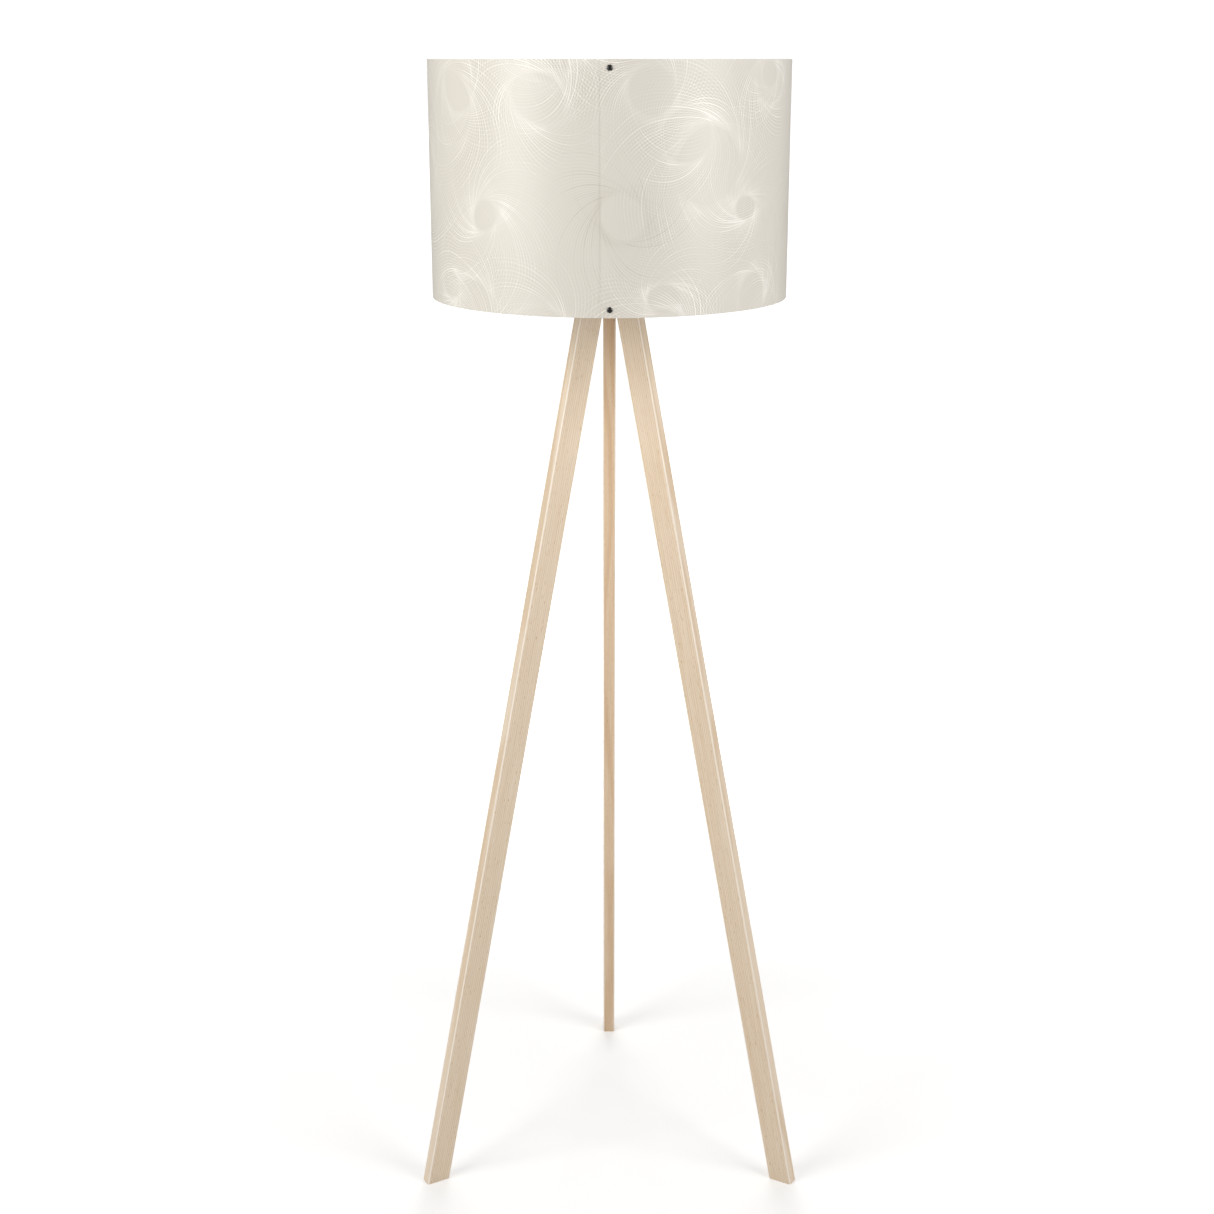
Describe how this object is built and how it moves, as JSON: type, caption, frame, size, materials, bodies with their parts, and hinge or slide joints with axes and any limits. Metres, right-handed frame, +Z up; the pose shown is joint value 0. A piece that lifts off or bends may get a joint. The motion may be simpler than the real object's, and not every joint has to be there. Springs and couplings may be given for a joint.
{
  "type": "tripod floor lamp",
  "caption": "Floor lamp with three splayed wooden legs under a tall white drum shade closed by snap rivets at its front seam.",
  "frame": {"origin": "on the floor, on the axis of the tripod and of the shade", "axes": "+Z up; the rear leg towards +Y; the shade's seam and rivets towards -Y; +X to the right of someone facing the seam"},
  "size_m": [0.513, 0.519, 1.49],
  "materials": {
    "leg_wood": "sanded pale beech with a thin clear matt lacquer",
    "hub_steel": "black powder coat, fine texture",
    "zinc_steel": "bright zinc plate",
    "nylon": "natural nylon",
    "holder_black": "moulded black, fine satin",
    "core_ceramic": "unglazed steatite",
    "brass_shell": "rolled brass",
    "contact_bronze": "sprung bronze strip",
    "shade_film": "pearly off-white film with a fine hairline print, satin gloss",
    "white_wire": "white powder coat",
    "rivet_black": "moulded black nylon, soft gloss",
    "opal": "opal polycarbonate, satin",
    "bulb_white": "moulded white",
    "bulb_nickel": "nickel-plated aluminium",
    "bulb_glass_black": "dark vitrified insulator",
    "board_white": "white solder mask with yellow chips",
    "board_green": "green circuit board"
  },
  "bodies": {
    "head": {"hub_plate": "hub_steel", "left_leg_bracket": "hub_steel", "right_leg_bracket": "hub_steel", "rear_leg_bracket": "hub_steel", "bracket_rivets": "zinc_steel", "leg_pivot_bolts": "zinc_steel", "leg_bolt_washers": "zinc_steel", "leg_lock_nuts": "zinc_steel", "leg_side_washers": "nylon", "hollow_rod": "zinc_steel", "rod_lock_nut": "zinc_steel", "rod_lock_washer": "zinc_steel", "cord_inlet_bush": "holder_black", "holder_cap": "holder_black", "holder_shell": "holder_black", "holder_core": "core_ceramic", "screw_shell": "brass_shell", "centre_contact": "contact_bronze", "side_contact": "contact_bronze", "terminal_screws": "zinc_steel"},
    "left_leg": {"left_leg": "leg_wood"},
    "right_leg": {"right_leg": "leg_wood"},
    "rear_leg": {"rear_leg": "leg_wood"},
    "shade": {"shade_carrier": "white_wire", "shade_top_ring": "white_wire", "shade_sheet": "shade_film", "seam_rivets": "rivet_black", "seam_rivet_backs": "rivet_black"},
    "ring_nut": {"shade_ring_nut": "holder_black"},
    "bulb_core": {"bulb_driver": "board_green", "bulb_board": "board_white"},
    "bulb": {"bulb_cap": "bulb_nickel", "bulb_insulator": "bulb_glass_black", "bulb_contact": "bulb_nickel", "bulb_body": "bulb_white", "bulb_globe": "opal"}
  },
  "joints": [
    {"name": "left_leg_fold", "type": "hinge", "parent": "head", "child": "left_leg", "pos_m": [-0.02212, -0.01277, 1.2], "axis": [0.5, -0.866, 0], "range_deg": [0, 11.78]},
    {"name": "right_leg_fold", "type": "hinge", "parent": "head", "child": "right_leg", "pos_m": [0.02212, -0.01277, 1.2], "axis": [0.5, 0.866, 0], "range_deg": [0, 11.78]},
    {"name": "rear_leg_fold", "type": "hinge", "parent": "head", "child": "rear_leg", "pos_m": [0, 0.02554, 1.2], "axis": [-1, 0, 0], "range_deg": [0, 11.78]},
    {"name": "shade_turn", "type": "hinge", "parent": "head", "child": "shade", "pos_m": [0, 0, 1.2571], "axis": [0, 0, 1], "continuous": true},
    {"name": "ring_nut_turn", "type": "hinge", "parent": "head", "child": "ring_nut", "pos_m": [0, 0, 1.2636], "axis": [0, 0, 1], "range_deg": [0, 1080]},
    {"name": "bulb_lift", "type": "slide", "parent": "head", "child": "bulb_core", "axis": [0, 0, 1], "range_m": [0, 0.0181]},
    {"name": "bulb_turn", "type": "hinge", "parent": "bulb_core", "child": "bulb", "pos_m": [0, 0, 1.2756], "axis": [0, 0, 1], "range_deg": [0, 1800]}
  ],
  "couplings": [
    {"joint": "bulb_lift", "follows": "bulb_turn", "m_per_rad": 0.00057614}
  ]
}
